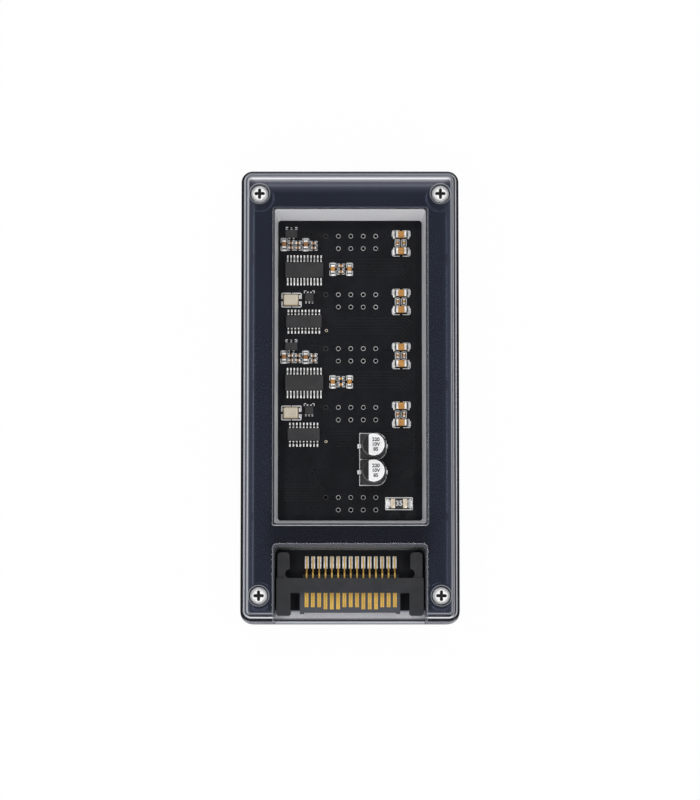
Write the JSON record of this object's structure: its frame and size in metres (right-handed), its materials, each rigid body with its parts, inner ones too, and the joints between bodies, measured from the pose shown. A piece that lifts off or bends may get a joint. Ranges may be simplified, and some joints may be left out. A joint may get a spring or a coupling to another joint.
{
  "type": "internal usb hub",
  "caption": "Flat smoke-clear case round a black circuit board, with a windowed face, a flat power inlet at one end and pin headers on the far side for computer ports.",
  "frame": {"origin": "middle of the case's footprint, on the flat header side that it lies on", "axes": "+X across the case, +Y along it away from the power inlet, +Z out of the windowed face"},
  "size_m": [0.0446, 0.0918, 0.018],
  "materials": {
    "smoke_clear": "polished smoke-clear polycarbonate",
    "screw_steel": "bright plated",
    "board_black": "satin black solder mask",
    "inlet_plastic": "fine matt",
    "header_plastic": "fine matt",
    "contact_gold": "gold plated",
    "chip_black": "moulded epoxy",
    "tinned_metal": "bright tin",
    "crystal_ceramic": "fired ceramic",
    "crystal_metal": "satin plated lid",
    "capacitor_ceramic": "fired ceramic",
    "can_aluminium": "satin drawn",
    "fuse_metal": "warm tin",
    "print_white": "printed lines"
  },
  "bodies": {
    "root": {"clear_cover": "smoke_clear", "base_shell": "smoke_clear", "cover_screws": "screw_steel", "circuit_board": "board_black", "power_inlet_housing": "inlet_plastic", "power_inlet_contacts": "contact_gold", "upstream_header_body": "header_plastic", "upstream_header_pins": "contact_gold", "fuse_body": "chip_black", "fuse_ends": "fuse_metal", "hub_chip_1_body": "chip_black", "hub_chip_1_leads": "tinned_metal", "driver_chip_1_body": "chip_black", "driver_chip_1_leads": "tinned_metal", "regulator_1_body": "chip_black", "regulator_1_leads": "tinned_metal", "small_chip_1_body": "chip_black", "small_chip_1_leads": "tinned_metal", "crystal_1_base": "crystal_ceramic", "crystal_1_lid": "crystal_metal", "channel_capacitors_1": "capacitor_ceramic", "channel_capacitor_ends_1": "tinned_metal", "can_capacitor_1_can": "can_aluminium", "can_capacitor_1_base": "header_plastic", "can_capacitor_1_tabs": "tinned_metal", "hub_chip_2_body": "chip_black", "hub_chip_2_leads": "tinned_metal", "driver_chip_2_body": "chip_black", "driver_chip_2_leads": "tinned_metal", "regulator_2_body": "chip_black", "regulator_2_leads": "tinned_metal", "small_chip_2_body": "chip_black", "small_chip_2_leads": "tinned_metal", "crystal_2_base": "crystal_ceramic", "crystal_2_lid": "crystal_metal", "channel_capacitors_2": "capacitor_ceramic", "channel_capacitor_ends_2": "tinned_metal", "can_capacitor_2_can": "can_aluminium", "can_capacitor_2_base": "header_plastic", "can_capacitor_2_tabs": "tinned_metal", "port_header_1_body": "header_plastic", "port_header_1_pins": "contact_gold", "port_capacitors_1": "capacitor_ceramic", "port_capacitor_ends_1": "tinned_metal", "port_header_2_body": "header_plastic", "port_header_2_pins": "contact_gold", "port_capacitors_2": "capacitor_ceramic", "port_capacitor_ends_2": "tinned_metal", "port_header_3_body": "header_plastic", "port_header_3_pins": "contact_gold", "port_capacitors_3": "capacitor_ceramic", "port_capacitor_ends_3": "tinned_metal", "port_header_4_body": "header_plastic", "port_header_4_pins": "contact_gold", "port_capacitors_4": "capacitor_ceramic", "port_capacitor_ends_4": "tinned_metal"}
  },
  "joints": []
}
